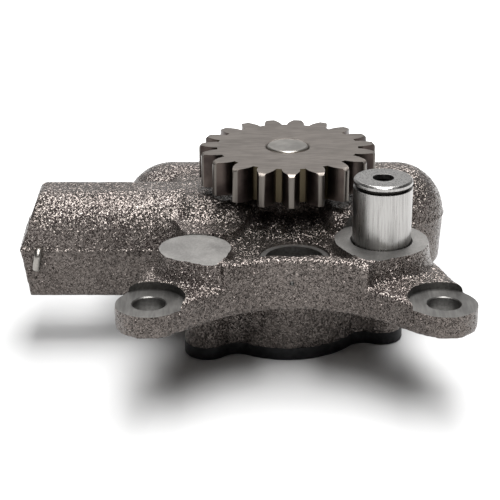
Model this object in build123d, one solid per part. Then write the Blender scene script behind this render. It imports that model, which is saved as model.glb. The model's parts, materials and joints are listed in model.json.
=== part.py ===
from build123d import *

import os
from math import acos, atan2, cos, degrees, hypot, pi, radians, sin, tan

# Gear-driven rotor oil pump. Millimetres, +Z up along the drive shaft.
# The origin is the shaft's axis at the outer face of the end cover.
# The crankshaft lies towards -Y, the relief-valve arm runs out towards -X
# and the ports face +Y.

# Levels above the outer face of the end cover
cover_thickness = 5.25
mounting_face_z = 34.0
web_top_z = 45.5
bolt_seat_z = 42.6
centre_cup_z = 49.3
valley_z = 50.2
pad_z = 54.3
parting_z = 42.0
plateau_z = 60.5
gear_underside_z = 65.2

# Drive gear: involute spur gear
gear_module = 3.175
gear_teeth = 19
gear_profile_shift = 0.65
gear_addendum = 0.85
gear_dedendum = 1.4
gear_pressure_angle = 20.0
gear_width = 13.4
gear_tip_chamfer = 0.9
gear_foot_chamfer = 0.2
gear_bore_chamfer = 1.2
gear_tooth_heading = -88.6
gear_end_gap = 0.3

# Drive shaft, its bushes and the pin that drives the inner rotor
shaft_dia = 16.0
shaft_rotor_end_dia = 14.0
shaft_stand_out = 0.35
shaft_chamfer = 0.8
shaft_end_clearance = 0.9
bush_wall = 1.6
bush_length = 12.0
bush_end_inset = 1.0
bush_running_clearance = 0.03
drive_pin_dia = 4.0
drive_pin_length = 21.0
drive_pin_slot_clearance = 0.08
drive_pin_end_gap = 0.3
drive_pin_inset = 0.6

# Rotor set: a four-lobe rotor inside a five-lobe ring
inner_lobes = 4
rotor_eccentricity = 2.7
lobe_pitch_radius = 21.0
lobe_radius = 6.2
rotor_tip_clearance = 0.06
rotor_length = 28.0
rotor_end_clearance = 0.04
outer_rotor_wall = 3.05
outer_rotor_clearance = 0.05
rotor_edge_chamfer = 0.3

# Rotor housing and end cover
housing_wall = 5.5
screw_circle_step = 7.4
screw_circle_heading = 11.45
screw_pair_half_angle = 23.95
screw_lobe_radius = 9.0
lobe_blend_radius = 7.0
screw_dia = 6.0
screw_head_dia = 11.3
screw_head_height = 2.8
screw_length = 18.0
screw_end_chamfer = 0.6
screw_hole_run_out = 3.0
screw_socket_width = 4.0
screw_socket_depth = 1.9
thread_core_ratio = 0.85
hole_clearance = 0.3
dowel_dia = 4.0
dowel_chamfer = 0.4
dowel_cover_depth = 3.5
dowel_body_depth = 5.5
cover_edge_chamfer = 0.5
seal_groove_inner_gap = 1.1
seal_cord_width = 2.0
seal_groove_depth = 1.75
seal_groove_width = 2.4
balance_port_depth = 1.5

# Flange that bolts to the bearing cap, set out about the crankshaft's axis
crank_x = 2.0
crank_relief_crest_y = -58.0
crank_relief_radius = 49.0
relief_to_bolt_circle = 15.0
ear_bolt_spacing = 106.7
ear_radius = 12.4
ear_edge_radius = 1.2
bolt_hole_dia = 12.0
seat_dia = 26.6
centre_cup_dia = 26.2
centre_counterbore_dia = 22.0
rim_width = 5.8
rim_edge_radius = 1.4
rim_left_heading = 122.0
rim_right_heading = 58.0
shoulder_out = 5.65
shoulder_rise = 14.85
waist_out = 1.05
waist_rise = 30.95
root_half_width = 44.0

# Machined pads on the flange: a round boss drawn out towards the rim
blank_pad_x = -35.3
blank_pad_y = -47.2
blank_pad_radius = 13.4
blank_tail_x = -29.6
blank_tail_y = -59.2
blank_tail_radius = 5.0
stub_pad_radius = 17.7
stub_tail_x = 29.6
stub_tail_y = -55.6
stub_tail_radius = 5.0
pad_draft = 9.0

# Idler stub shaft
stub_x = 34.8
stub_y = -38.8
stub_dia = 22.2
stub_height = 24.9
stub_depth = 18.0
stub_seat_dia = 21.4
stub_bore_dia = 7.9
stub_chamfer = 0.7
stub_land = 1.9
stub_groove_width = 1.4
stub_groove_depth = 1.0
stub_mouth_chamfer = 0.8

# Relief-valve arm and the rounded gallery behind the pump
cast_half_height = 20.0
arm_front_y = -20.0
arm_back_y = 8.0
arm_end_x = -105.0
arm_end_top_lean = 7.0
arm_end_bottom_lean = 3.0
arm_draft = 5.0
arm_top_radius = 6.0
gallery_y = 26.0
gallery_left_x = -47.1
gallery_right_x = 45.6
gallery_draft = 3.0
ground_inset = 1.6
plateau_draft = 4.0
plateau_back_left_x = -51.0
plateau_lead_x = -44.0
plateau_lead_y = -22.0
plateau_left_x = -41.0
plateau_front_y = -34.0
plateau_inner_left_x = -21.5
plateau_notch_half_width = 11.5
plateau_notch_y = -14.0
plateau_inner_right_x = 15.0
plateau_right_x = 26.0
plateau_right_front_y = -27.0
plateau_far_right_x = 46.0
plateau_far_right_y = 7.0
plateau_corner_radius = 5.0
plateau_edge_radius = 4.5

# Domed hub under the drive gear
hub_shoulder_radius = 29.0
hub_shoulder_z = 50.6
hub_crown_radius = 16.0
hub_crown_z = 56.5
hub_neck_radius = 13.5
hub_blend_radius = 3.0

# Relief valve, inside the arm
relief_y = -6.0
relief_bore_dia = 18.25
plunger_clearance = 0.04
plunger_length = 26.0
plunger_wall = 2.3
plunger_crown = 3.0
plunger_groove_depth = 0.5
plunger_groove_width = 1.2
plunger_chamfer = 0.4
plunger_lift = 14.0
pressure_bore_dia = 15.0
spring_fitted_length = 59.8
spring_wire_dia = 2.0
spring_turns = 8
spring_runs_per_turn = 12
spring_side_clearance = 0.3
spring_cap_thickness = 4.0
spring_cap_spigot = 3.0
cap_pin_dia = 3.1
cap_pin_chamfer = 0.62
cap_pin_x = -97.5
cap_pin_bend_radius = 2.2
cap_pin_leg = 7.5
cap_pin_leg_lean = 1.0
cap_pin_head_dia = 6.0
cap_pin_head_height = 1.6
spill_slot_length = 9.0
spill_slot_lap = 8.0

# Ports on the back, each with a two-bolt face
port_face_y = 48.0
suction_x = 38.0
suction_bore_dia = 22.0
suction_bolt_spacing = 40.0
suction_eye_radius = 7.5
suction_boss_radius = 13.8
suction_passage_dia = 16.0
suction_passage_y = 13.5
delivery_x = -40.0
delivery_bore_dia = 16.0
delivery_bolt_spacing = 34.0
delivery_eye_radius = 7.5
delivery_boss_radius = 12.5
delivery_passage_dia = 13.0
delivery_passage_y = 15.5
port_bolt_dia = 8.0
port_bolt_depth = 14.0
port_face_chamfer = 0.6
kidney_width = 7.4
kidney_half_angle = 58.0
kidney_depth = 7.0

# Worked-out sizes
inner_rotor_z = cover_thickness + rotor_end_clearance
chamber_top_z = inner_rotor_z + rotor_length + rotor_end_clearance
gear_top_z = gear_underside_z + gear_width
rotor_root_radius = lobe_pitch_radius + 2 * rotor_eccentricity - lobe_radius
outer_rotor_radius = rotor_root_radius + outer_rotor_wall
chamber_radius = outer_rotor_radius + outer_rotor_clearance
housing_radius = chamber_radius + rotor_eccentricity + housing_wall
dowel_circle_radius = housing_radius - dowel_dia / 2
shaft_radius = shaft_dia / 2
bush_radius = shaft_radius + bush_running_clearance + bush_wall
hub_top_z = gear_underside_z - gear_end_gap
rotor_minor_radius = lobe_pitch_radius - rotor_eccentricity - lobe_radius
casting_top_z = parting_z + cast_half_height
casting_bottom_z = parting_z - cast_half_height
screw_circle_radius = housing_radius + screw_circle_step
bolt_circle_radius = crank_relief_radius + relief_to_bolt_circle
crank_y = crank_relief_crest_y - crank_relief_radius
bolt_rise = (bolt_circle_radius**2 - (ear_bolt_spacing / 2) ** 2) ** 0.5
ear_y = crank_y + bolt_rise
ears = [(crank_x - ear_bolt_spacing / 2, ear_y), (crank_x + ear_bolt_spacing / 2, ear_y)]
centre_bolt = (crank_x, crank_y + bolt_circle_radius)
plunger_radius = relief_bore_dia / 2 - plunger_clearance
spring_seat_x = cap_pin_x + cap_pin_dia / 2 + spring_cap_thickness
plunger_face_x = spring_seat_x + spring_fitted_length + plunger_crown
seal_radius = chamber_radius + seal_groove_inner_gap + seal_cord_width / 2

# How far a cut runs on past the surface that it opens
overcut = 1.0

bottom_up = (Align.CENTER, Align.CENTER, Align.MIN)


def rod_z(radius, z_low, z_high, centre=(0, 0)):
    """An upright cylinder between two levels."""
    return Pos(centre[0], centre[1], z_low) * Cylinder(radius, z_high - z_low, align=bottom_up)


def rod_x(radius, x_low, x_high, y, z):
    """A cylinder that lies along X."""
    return Pos(x_low, y, z) * Rot(0, 90, 0) * Cylinder(radius, x_high - x_low, align=bottom_up)


def rod_y(radius, y_low, y_high, x, z):
    """A cylinder that lies along Y."""
    return Pos(x, y_low, z) * Rot(-90, 0, 0) * Cylinder(radius, y_high - y_low, align=bottom_up)


def slab(outline, z_low, z_high, draft=0.0):
    """An outline raised from one level to another, leaning in by its draft."""
    direction = (0, 0, 1 if z_high > z_low else -1)
    return extrude(Pos(0, 0, z_low) * outline, amount=abs(z_high - z_low), dir=direction, taper=draft)


def on_circle(radius, heading, centre=(0, 0)):
    """The point at a heading in degrees on a circle."""
    angle = radians(heading)
    return (centre[0] + radius * cos(angle), centre[1] + radius * sin(angle))


def polygon(points):
    """A flat face with straight sides through the points."""
    return make_face(Polyline(*points, close=True))


def disc(radius, centre=(0, 0)):
    """A round face about a point."""
    return Pos(centre[0], centre[1]) * Circle(radius)


def egg(centre, radius, tail, tail_radius):
    """Two discs joined by the straight lines that touch both."""
    heading = degrees(atan2(tail[1] - centre[1], tail[0] - centre[0]))
    spread = degrees(acos((radius - tail_radius) / hypot(tail[0] - centre[0], tail[1] - centre[1])))
    web = polygon(
        [
            on_circle(radius, heading + spread, centre),
            on_circle(radius, heading - spread, centre),
            on_circle(tail_radius, heading - spread, tail),
            on_circle(tail_radius, heading + spread, tail),
        ]
    )
    return disc(radius, centre) + disc(tail_radius, tail) + web


def arc_chain(points):
    """Arcs end to end, each through three of the points."""
    return Curve() + [ThreePointArc(*points[n : n + 3]) for n in range(0, len(points) - 2, 2)]


def countersunk(solid, radius, z, centre, size):
    """The solid with a chamfer round the upward mouth of a hole."""
    cone = Cone(radius, radius + size, size, align=(Align.CENTER, Align.CENTER, Align.MAX))
    return solid - Pos(centre[0], centre[1], z) * cone


# ---------------------------------------------------------------- drive gear
def involute_gear():
    """Involute spur gear with its tips chamfered on both faces."""
    pitch_radius = gear_module * gear_teeth / 2
    base_radius = pitch_radius * cos(radians(gear_pressure_angle))
    tip_radius = pitch_radius + gear_module * (gear_addendum + gear_profile_shift)
    root_radius = pitch_radius - gear_module * (gear_dedendum - gear_profile_shift)

    def involute(radius):
        pressure = acos(min(1.0, base_radius / radius))
        return tan(pressure) - pressure

    # Half the tooth's angle at the pitch circle, then at any other radius
    shift_widening = 2 * gear_profile_shift * tan(radians(gear_pressure_angle))
    pitch_half_angle = (pi / 2 + shift_widening) / gear_teeth
    flank_foot = max(base_radius, root_radius)

    def flank_point(radius, side):
        half_angle = pitch_half_angle + involute(pitch_radius) - involute(radius)
        return on_circle(radius, side * degrees(half_angle))

    # Four steps up the flank give two arcs on each side of the tooth
    flank_steps = 4
    flank_rise = (tip_radius - flank_foot) / flank_steps
    radii = [flank_foot + flank_rise * step for step in range(flank_steps + 1)]
    right = [flank_point(radius, -1) for radius in radii]
    left = [flank_point(radius, 1) for radius in radii]
    # The tooth's foot lies inside the blank, so that the two merge
    foot = root_radius - gear_module / 3
    tip = ThreePointArc(right[-1], (tip_radius, 0), left[-1])
    base = Polyline(left[0], (foot, left[0][1]), (foot, right[0][1]), right[0])
    tooth_face = make_face(arc_chain(right) + tip + arc_chain(left) + base)
    tooth = slab(tooth_face, 0, gear_width)

    # A double cone, a hair wider than the tips, trims every tip corner at once
    beyond_tip = tip_radius + 0.001
    trim_profile = polygon(
        [
            (0, 0),
            (tip_radius - gear_foot_chamfer, 0),
            (beyond_tip, gear_foot_chamfer),
            (beyond_tip, gear_width - gear_tip_chamfer),
            (tip_radius - gear_tip_chamfer, gear_width),
            (0, gear_width),
        ]
    )
    trim = revolve(Plane.XZ * trim_profile, Axis.Z)
    blank = rod_z(root_radius, 0, gear_width)
    teeth = [Rot(0, 0, gear_tooth_heading + 360 * n / gear_teeth) * tooth for n in range(gear_teeth)]
    gear = (blank + teeth) & trim
    gear -= rod_z(shaft_radius, 0, gear_width)
    gear = countersunk(gear, shaft_radius, gear_width, (0, 0), gear_bore_chamfer)
    return Pos(0, 0, gear_underside_z) * gear


# ---------------------------------------------------------- shaft and bushes
def drive_shaft():
    """Shaft with a stepped-down end for the inner rotor and a cross hole."""
    foot_z = cover_thickness + shaft_end_clearance
    top_z = gear_top_z + shaft_stand_out
    rotor_end = rod_z(shaft_rotor_end_dia / 2, foot_z, chamber_top_z)
    rotor_end = chamfer(rotor_end.edges().group_by(Axis.Z)[0], shaft_chamfer)
    journal = rod_z(shaft_radius, chamber_top_z, top_z)
    journal = chamfer(journal.edges().group_by(Axis.Z)[-1], shaft_chamfer / 2)
    return rotor_end + journal - drive_pin()


def drive_pin():
    """Cross pin near the top of the inner rotor."""
    pin_z = inner_rotor_z + rotor_length - drive_pin_inset - drive_pin_dia / 2
    return rod_x(drive_pin_dia / 2, -drive_pin_length / 2, drive_pin_length / 2, 0, pin_z)


def shaft_bush(z_low):
    """Plain bearing bush pressed into the body."""
    inner = shaft_radius + bush_running_clearance
    return rod_z(bush_radius, z_low, z_low + bush_length) - rod_z(inner, z_low, z_low + bush_length)


lower_bush_z = chamber_top_z + bush_end_inset
upper_bush_z = hub_top_z - bush_end_inset - bush_length


# ----------------------------------------------------------------- rotor set
def inner_rotor():
    """The curve that a ring lobe's centre follows, moved in by the lobe's radius."""
    steps_per_lobe = 24
    step_count = steps_per_lobe * inner_lobes
    offset = lobe_radius + rotor_tip_clearance
    swing = inner_lobes + 1
    points = []
    for step in range(step_count):
        angle = 2 * pi * step / step_count
        x = lobe_pitch_radius * cos(angle) - rotor_eccentricity * cos(swing * angle)
        y = lobe_pitch_radius * sin(angle) - rotor_eccentricity * sin(swing * angle)
        run = -lobe_pitch_radius * sin(angle) + swing * rotor_eccentricity * sin(swing * angle)
        rise = lobe_pitch_radius * cos(angle) - swing * rotor_eccentricity * cos(swing * angle)
        speed = hypot(run, rise)
        points.append((x - offset * rise / speed, y + offset * run / speed))
    outline = make_face(arc_chain(points + points[:1]))
    top_z = inner_rotor_z + rotor_length
    rotor = slab(outline, inner_rotor_z, top_z)
    rotor -= rod_z(shaft_rotor_end_dia / 2, inner_rotor_z, top_z)
    slot_width = drive_pin_dia + 2 * drive_pin_slot_clearance
    slot_depth = drive_pin_dia + drive_pin_inset + drive_pin_slot_clearance
    slot_length = drive_pin_length + 2 * drive_pin_end_gap
    slot = Box(slot_length, slot_width, slot_depth, align=(Align.CENTER, Align.CENTER, Align.MAX))
    return rotor - Pos(0, 0, top_z) * slot


def outer_rotor():
    """Ring with round lobes on its inside, one more than the inner rotor has."""
    lobe_count = inner_lobes + 1
    cavity = disc(rotor_root_radius)
    # The lobe opposite the offset lies on the line through both centres
    for n in range(lobe_count):
        heading = 270 + 360 * n / lobe_count
        cavity -= disc(lobe_radius, on_circle(lobe_pitch_radius, heading))
    ring = slab(disc(outer_rotor_radius), 0, rotor_length)
    ring = chamfer(ring.edges(), rotor_edge_chamfer)
    ring -= slab(cavity, 0, rotor_length)
    return Pos(0, rotor_eccentricity, inner_rotor_z) * ring


# ------------------------------------------------------- housing and cover
screw_headings = [
    screw_circle_heading + turn + side * screw_pair_half_angle for turn in (0, 180) for side in (-1, 1)
]
screw_centres = [on_circle(screw_circle_radius, heading) for heading in screw_headings]
dowel_centres = [on_circle(dowel_circle_radius, screw_headings[n]) for n in (0, 3)]


def lobed_outline():
    """The housing's circle with a rounded lobe for each cover screw."""
    outline = disc(housing_radius)
    for centre in screw_centres:
        outline += disc(screw_lobe_radius, centre)
    # The blend that touches a lobe, the housing's circle and the line midway between a pair of lobes
    lobe_reach = screw_circle_radius * cos(radians(screw_pair_half_angle))
    squares = housing_radius**2 + screw_circle_radius**2 - screw_lobe_radius**2
    blend_room = squares - 2 * housing_radius * lobe_reach
    widest_blend = blend_room / (2 * (lobe_reach + screw_lobe_radius - housing_radius))
    return fillet(outline.vertices(), min(lobe_blend_radius, 0.99 * widest_blend))


def kidney_ports():
    """The two curved openings that the rotor pockets sweep past."""
    middle = (rotor_minor_radius + rotor_root_radius) / 2
    arc_length = 2 * kidney_half_angle
    centre = (0, rotor_eccentricity / 2)
    ports = [
        SlotArc(CenterArc(centre, middle, turn - kidney_half_angle, arc_length), kidney_width)
        for turn in (0, 180)
    ]
    return ports[0] + ports[1]


def end_cover():
    """Flat cover with countersunk screw holes, dowel holes and shallow balance ports."""
    cover = slab(lobed_outline(), 0, cover_thickness)
    cover = chamfer(cover.edges().group_by(Axis.Z)[0], cover_edge_chamfer)
    for centre in screw_centres:
        cover -= rod_z(screw_dia / 2 + hole_clearance, 0, cover_thickness, centre)
        cover -= screw_head(centre)
    for centre in dowel_centres:
        cover -= rod_z(dowel_dia / 2, cover_thickness - dowel_cover_depth, cover_thickness, centre)
    return cover - slab(kidney_ports(), cover_thickness - balance_port_depth, cover_thickness)


def screw_head(centre):
    """The cone of a flat-head screw, flush with the cover's outer face."""
    cone = Cone(screw_head_dia / 2, screw_dia / 2, screw_head_height, align=bottom_up)
    return Pos(centre[0], centre[1], 0) * cone


def cover_screw(centre):
    """Flat-head screw with a hexagon socket."""
    shank = rod_z(screw_dia / 2, 0, screw_length, centre)
    shank = chamfer(shank.edges().group_by(Axis.Z)[-1], screw_end_chamfer)
    socket = slab(RegularPolygon(screw_socket_width / 2, 6, major_radius=False), 0, screw_socket_depth)
    return screw_head(centre) + shank - Pos(centre[0], centre[1], 0) * socket


def cover_dowel(centre):
    """Dowel half in the cover and half in the body."""
    low_z = cover_thickness - dowel_cover_depth
    dowel = rod_z(dowel_dia / 2, low_z, cover_thickness + dowel_body_depth, centre)
    return chamfer(dowel.edges(), dowel_chamfer)


def seal_ring():
    """Square-cut rubber ring, pressed flat in its groove all round the rotor chamber."""
    section = Pos(seal_radius, cover_thickness + seal_groove_depth / 2) * Rectangle(
        seal_cord_width, seal_groove_depth
    )
    return Pos(0, rotor_eccentricity, 0) * revolve(Plane.XZ * section, Axis.Z)


# ---------------------------------------------------------- idler stub shaft
def idler_stub_shaft():
    """Ground stub with a retaining-ring groove near its top and an oil hole through it."""
    low_z = pad_z - stub_depth
    top_z = pad_z + stub_height
    journal = rod_z(stub_dia / 2, pad_z, top_z)
    journal = chamfer(journal.edges().group_by(Axis.Z)[-1], stub_chamfer)
    seat = rod_z(stub_seat_dia / 2, low_z, pad_z)
    stub = journal + chamfer(seat.edges().group_by(Axis.Z)[0], stub_chamfer)
    stub -= rod_z(stub_bore_dia / 2, low_z, top_z)
    groove_top = top_z - stub_land
    groove = rod_z(stub_dia / 2 + overcut, groove_top - stub_groove_width, groove_top)
    groove -= rod_z(stub_dia / 2 - stub_groove_depth, groove_top - stub_groove_width, groove_top)
    return Pos(stub_x, stub_y, 0) * (stub - groove)


# -------------------------------------------------------------- relief valve
def relief_plunger():
    """Closed-end cup with two oil grooves; it seats on the shoulder of its bore."""
    back_x = plunger_face_x - plunger_length
    cup = rod_x(plunger_radius, back_x, plunger_face_x, relief_y, parting_z)
    cup = chamfer(cup.edges(), plunger_chamfer)
    cup -= rod_x(plunger_radius - plunger_wall, back_x, plunger_face_x - plunger_crown, relief_y, parting_z)
    for n in (1, 2):
        groove_x = plunger_face_x - n * plunger_length / 3
        ring = rod_x(plunger_radius + overcut, groove_x - plunger_groove_width, groove_x, relief_y, parting_z)
        core_radius = plunger_radius - plunger_groove_depth
        ring -= rod_x(core_radius, groove_x - plunger_groove_width, groove_x, relief_y, parting_z)
        cup -= ring
    return cup


spring_outer_radius = plunger_radius - plunger_wall - spring_side_clearance
spring_coil_radius = spring_outer_radius - spring_wire_dia / 2


def relief_spring():
    """Compression spring between the cap and the plunger's crown, its coil drawn in short straight runs."""
    free_run = spring_fitted_length - spring_wire_dia
    helix = Helix(free_run / spring_turns, free_run, spring_coil_radius)
    run_count = spring_turns * spring_runs_per_turn
    points = [helix @ (n / run_count) for n in range(run_count + 1)]
    start = Plane(origin=points[0], z_dir=points[1] - points[0])
    wire = start * RegularPolygon(spring_wire_dia / 2, 6)
    coil = sweep(wire, path=Polyline(*points), transition=Transition.RIGHT)
    return Pos(spring_seat_x + spring_wire_dia / 2, relief_y, parting_z) * Rot(0, 90, 0) * coil


def relief_spring_cap():
    """Disc behind the cross pin, with a spigot that centres the spring."""
    back_x = spring_seat_x - spring_cap_thickness
    disc_part = rod_x(plunger_radius, back_x, spring_seat_x, relief_y, parting_z)
    disc_part = chamfer(disc_part.edges(), plunger_chamfer)
    spigot_radius = spring_coil_radius - spring_wire_dia / 2 - spring_side_clearance
    spigot_end = spring_seat_x + spring_cap_spigot
    return disc_part + rod_x(spigot_radius, spring_seat_x, spigot_end, relief_y, parting_z)


def relief_cap_pin():
    """Headed pin through the arm that holds the cap; its end is bent down the front flank."""
    corner = (cap_pin_x, arm_front_y - cap_pin_bend_radius, parting_z)
    leg_end = (cap_pin_x - cap_pin_leg_lean, corner[1], parting_z - cap_pin_leg)
    start = (cap_pin_x, arm_back_y, parting_z)
    path = FilletPolyline(start, corner, leg_end, radius=cap_pin_bend_radius)
    pin = sweep(Plane(origin=start, z_dir=(0, -1, 0)) * Circle(cap_pin_dia / 2), path=path)
    pin = chamfer(pin.edges().group_by(Axis.Z)[0], cap_pin_chamfer)
    head_end = arm_back_y + cap_pin_head_height
    return pin + rod_y(cap_pin_head_dia / 2, arm_back_y, head_end, cap_pin_x, parting_z)


# ---------------------------------------------------------------- pump body
def flange_outline():
    """The flange from above: two ears, tapering shoulders and the round crank relief."""
    crank = (crank_x, crank_y)
    ear = ears[0]
    # The straight edge that crosses from the crank relief to the ear
    ear_heading = degrees(atan2(ear[1] - crank_y, ear[0] - crank_x))
    lean = degrees(acos((crank_relief_radius + ear_radius) / bolt_circle_radius))
    relief_touch = on_circle(crank_relief_radius, ear_heading - lean, crank)
    ear_touch = on_circle(ear_radius, ear_heading - lean + 180, ear)
    # The shoulder's edge runs on to touch the ear's outside
    shoulder = (ear[0] - shoulder_out, ear_y + shoulder_rise)
    reach = hypot(shoulder[0] - ear[0], shoulder[1] - ear[1])
    shoulder_heading = degrees(atan2(shoulder[1] - ear[1], shoulder[0] - ear[0]))
    outer_touch = on_circle(ear_radius, shoulder_heading + degrees(acos(ear_radius / reach)), ear)
    waist = (ear[0] - waist_out, ear_y + waist_rise)
    root = (crank_x - root_half_width, arm_front_y)
    left = [relief_touch, ear_touch, outer_touch, shoulder, waist, root]
    right = [(2 * crank_x - x, y) for x, y in reversed(left)]
    return polygon(left + right) + disc(ear_radius, ears[0]) + disc(ear_radius, ears[1])


def flange():
    """The flange's web, its raised middle with the rim, and the two pad bosses."""
    crank = (crank_x, crank_y)
    web = slab(flange_outline() - disc(crank_relief_radius, crank), mounting_face_z, web_top_z)
    web = fillet(web.faces().sort_by(Axis.Z)[-1].edges(), ear_edge_radius)

    # The rim follows the crank relief between the tips of the two pads
    far = 2 * bolt_circle_radius
    wedge_left = on_circle(far, rim_left_heading, crank)
    wedge = polygon([crank, wedge_left, on_circle(far, rim_right_heading, crank)])
    rim_outline = (disc(crank_relief_radius + rim_width, crank) - disc(crank_relief_radius, crank)) & wedge
    rim = slab(rim_outline, mounting_face_z, pad_z)

    # Valley between the pads, behind the rim
    rim_middle = crank_relief_radius + rim_width / 2
    valley_outline = polygon(
        [
            on_circle(rim_middle, rim_left_heading, crank),
            (blank_pad_x, blank_pad_y),
            (blank_pad_x, arm_front_y),
            (stub_x, arm_front_y),
            (stub_x, stub_y),
            on_circle(rim_middle, rim_right_heading, crank),
        ]
    )
    valley = slab(valley_outline, mounting_face_z, valley_z)
    valley -= rod_z(centre_cup_dia / 2, centre_cup_z, valley_z, centre_bolt)
    blank_pad = egg(
        (blank_pad_x, blank_pad_y), blank_pad_radius, (blank_tail_x, blank_tail_y), blank_tail_radius
    )
    stub_pad = egg((stub_x, stub_y), stub_pad_radius, (stub_tail_x, stub_tail_y), stub_tail_radius)
    pads = slab(blank_pad, pad_z, mounting_face_z, -pad_draft)
    pads += slab(stub_pad, pad_z, mounting_face_z, -pad_draft)
    middle = rim + valley + pads - rod_z(crank_relief_radius, 0, pad_z + overcut, crank)
    return web + middle


def relief_arm():
    """The arm that holds the relief valve, leaning in both ways from the parting line."""
    inner_x = gallery_left_x + cast_half_height
    outline = polygon(
        [
            (arm_end_x - cast_half_height, arm_front_y),
            (inner_x, arm_front_y),
            (inner_x, arm_back_y),
            (arm_end_x - cast_half_height, arm_back_y),
        ]
    )
    upper = slab(outline, parting_z, casting_top_z, arm_draft)
    lower = slab(outline, parting_z, casting_bottom_z, arm_draft)
    # The end leans in from the parting line, more above it than below
    end_profile = polygon(
        [
            (arm_end_x, parting_z),
            (arm_end_x + arm_end_top_lean, casting_top_z),
            (inner_x, casting_top_z),
            (inner_x, casting_bottom_z),
            (arm_end_x + arm_end_bottom_lean, casting_bottom_z),
        ]
    )
    keep = extrude(Plane.XZ * end_profile, amount=2 * cast_half_height, both=True)
    upper = upper & keep
    lower = lower & keep
    top_edges = upper.faces().sort_by(Axis.Z)[-1].edges().sort_by(Axis.Y)
    return fillet(top_edges[0], arm_top_radius) + lower


def gallery():
    """Round-backed passage housing with domed ends above the parting line."""
    tube = rod_x(cast_half_height, gallery_left_x, gallery_right_x, gallery_y, parting_z)
    for end_x in (gallery_left_x, gallery_right_x):
        tube += Pos(end_x, gallery_y, parting_z) * Sphere(cast_half_height)
    length = gallery_right_x - gallery_left_x
    middle_x = (gallery_left_x + gallery_right_x) / 2
    keep = Pos(middle_x, gallery_y, parting_z) * Box(
        length + 3 * cast_half_height, 3 * cast_half_height, 2 * cast_half_height, align=bottom_up
    )
    outline = Pos(middle_x, gallery_y) * SlotCenterToCenter(length, 2 * cast_half_height)
    return (tube & keep) + slab(outline, parting_z, casting_bottom_z, gallery_draft)


def plateau():
    """High ground round the hub, between the arm, the pads and the gallery."""
    outline = polygon(
        [
            (plateau_back_left_x, arm_front_y + arm_back_y),
            (plateau_lead_x, plateau_lead_y),
            (plateau_left_x, plateau_front_y),
            (plateau_inner_left_x, plateau_front_y),
            (-plateau_notch_half_width, plateau_notch_y),
            (plateau_notch_half_width, plateau_notch_y),
            (plateau_inner_right_x, plateau_right_front_y),
            (plateau_right_x, plateau_right_front_y),
            (plateau_far_right_x, plateau_far_right_y),
            (plateau_far_right_x, gallery_y),
            (gallery_left_x, gallery_y),
            (plateau_back_left_x, 0),
        ]
    )
    outline = fillet(outline.vertices(), plateau_corner_radius)
    high = slab(outline, parting_z, plateau_z, plateau_draft)
    high = fillet(high.faces().sort_by(Axis.Z)[-1].edges(), plateau_edge_radius)
    return high


def hub():
    """Domed top of the rotor housing, with the neck under the drive gear."""
    points = [
        (0, mounting_face_z),
        (housing_radius, mounting_face_z),
        (hub_shoulder_radius, hub_shoulder_z),
        (hub_crown_radius, hub_crown_z),
        (hub_neck_radius, hub_top_z),
        (0, hub_top_z),
    ]
    dome = revolve(Plane.XZ * polygon(points), Axis.Z)
    corners = dome.edges().filter_by(GeomType.CIRCLE).sort_by(Axis.Z)[1:-1]
    return fillet(corners, hub_blend_radius)


def port_boss(x, bolt_spacing, eye_radius, boss_radius):
    """Two-bolt boss that faces +Y, with its face's edge chamfered."""
    outline = disc(boss_radius)
    for side in (-1, 1):
        outline += egg((0, 0), boss_radius, (side * bolt_spacing / 2, 0), eye_radius)
    depth = port_face_y - gallery_y
    boss = extrude(outline, amount=depth)
    boss = chamfer(boss.faces().sort_by(Axis.Z)[-1].edges(), port_face_chamfer)
    return Pos(x, gallery_y, parting_z) * Rot(-90, 0, 0) * boss


def casting():
    """The rough casting, before any hole is made."""
    solid = slab(lobed_outline(), cover_thickness, mounting_face_z + cover_thickness)
    solid += hub()
    solid += flange()
    solid += plateau()
    solid += relief_arm()
    solid += gallery()
    # Closed ground under the plateau, between the housing and the gallery
    solid += slab(
        polygon(
            [
                (gallery_left_x, arm_front_y + ground_inset),
                (housing_radius, arm_front_y + ground_inset),
                (gallery_right_x, gallery_y),
                (gallery_left_x, gallery_y),
            ]
        ),
        casting_bottom_z,
        parting_z,
    )
    solid += port_boss(suction_x, suction_bolt_spacing, suction_eye_radius, suction_boss_radius)
    solid += port_boss(delivery_x, delivery_bolt_spacing, delivery_eye_radius, delivery_boss_radius)
    return solid


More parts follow.
